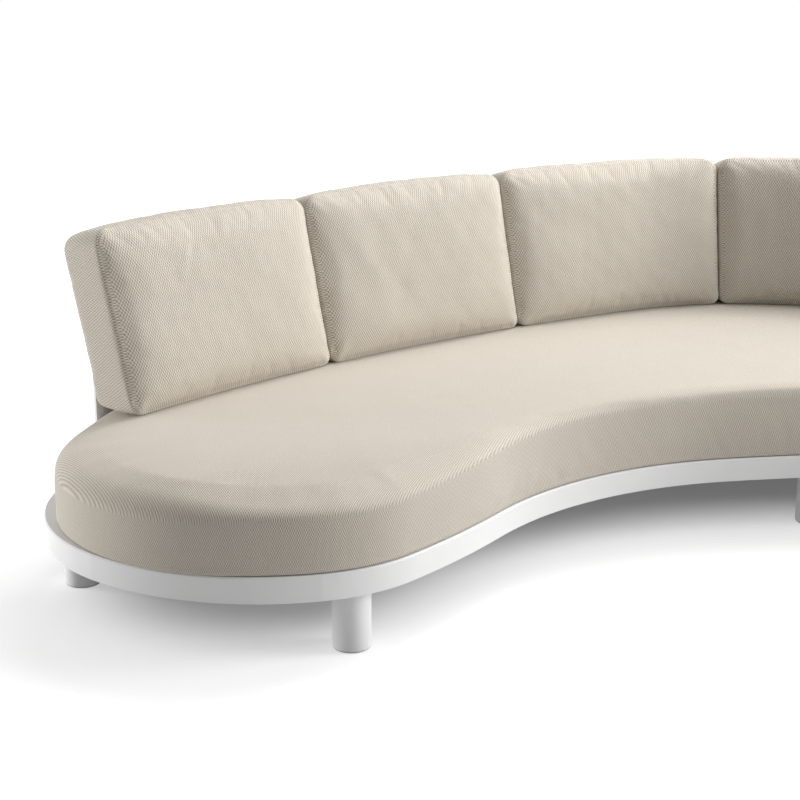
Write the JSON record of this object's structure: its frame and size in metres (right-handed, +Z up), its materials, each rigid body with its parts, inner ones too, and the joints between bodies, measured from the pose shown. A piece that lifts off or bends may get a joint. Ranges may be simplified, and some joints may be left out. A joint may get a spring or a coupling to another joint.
{
  "type": "outdoor sofa",
  "caption": "Curved outdoor lounge sofa: kidney-shaped metal platform on round legs, low curved back panel, one crowned seat cushion and loose leaning back cushions.",
  "frame": {"origin": "centre of the sofa's width and depth, on the floor under the legs", "axes": "X along the width, -Y the way a sitter faces, +Z up"},
  "size_m": [3.9996, 1.9363, 0.8381],
  "materials": {
    "powder_coat": "satin powder coat",
    "fabric": "woven outdoor cloth",
    "foam": "open cell foam",
    "steel": "plain stainless",
    "plastic": "matte"
  },
  "bodies": {
    "platform": {"skirt_left": "powder_coat", "skirt_right": "powder_coat", "deck_left": "powder_coat", "deck_right": "powder_coat", "joint_wall_left": "powder_coat", "joint_wall_right": "powder_coat", "ribs_left": "powder_coat", "ribs_right": "powder_coat", "leg_plates": "powder_coat", "legs_left": "powder_coat", "legs_centre": "powder_coat", "legs_right": "powder_coat", "leg_glides": "plastic", "joint_bolts": "steel", "joint_nuts": "steel", "back_panel_left": "powder_coat", "back_panel_right": "powder_coat", "panel_splice": "powder_coat", "panel_posts": "powder_coat"},
    "seat_cushion": {"seat_cushion_cover": "fabric", "seat_cushion_foam": "foam"},
    "back_cushion_1": {"back_cushion_1_cover": "fabric", "back_cushion_1_foam": "foam"},
    "back_cushion_2": {"back_cushion_2_cover": "fabric", "back_cushion_2_foam": "foam"},
    "back_cushion_3": {"back_cushion_3_cover": "fabric", "back_cushion_3_foam": "foam"},
    "back_cushion_4": {"back_cushion_4_cover": "fabric", "back_cushion_4_foam": "foam"},
    "back_cushion_5": {"back_cushion_5_cover": "fabric", "back_cushion_5_foam": "foam"},
    "back_cushion_6": {"back_cushion_6_cover": "fabric", "back_cushion_6_foam": "foam"}
  },
  "joints": [
    {"name": "seat_cushion_lift", "type": "slide", "parent": "platform", "child": "seat_cushion", "axis": [0, 0, 1], "range_m": [0, 0.25]},
    {"name": "back_cushion_1_lift", "type": "slide", "parent": "seat_cushion", "child": "back_cushion_1", "axis": [0, 0, 1], "range_m": [0, 0.3]},
    {"name": "back_cushion_2_lift", "type": "slide", "parent": "seat_cushion", "child": "back_cushion_2", "axis": [0, 0, 1], "range_m": [0, 0.3]},
    {"name": "back_cushion_3_lift", "type": "slide", "parent": "seat_cushion", "child": "back_cushion_3", "axis": [0, 0, 1], "range_m": [0, 0.3]},
    {"name": "back_cushion_4_lift", "type": "slide", "parent": "seat_cushion", "child": "back_cushion_4", "axis": [0, 0, 1], "range_m": [0, 0.3]},
    {"name": "back_cushion_5_lift", "type": "slide", "parent": "seat_cushion", "child": "back_cushion_5", "axis": [0, 0, 1], "range_m": [0, 0.3]},
    {"name": "back_cushion_6_lift", "type": "slide", "parent": "seat_cushion", "child": "back_cushion_6", "axis": [0, 0, 1], "range_m": [0, 0.3]}
  ]
}
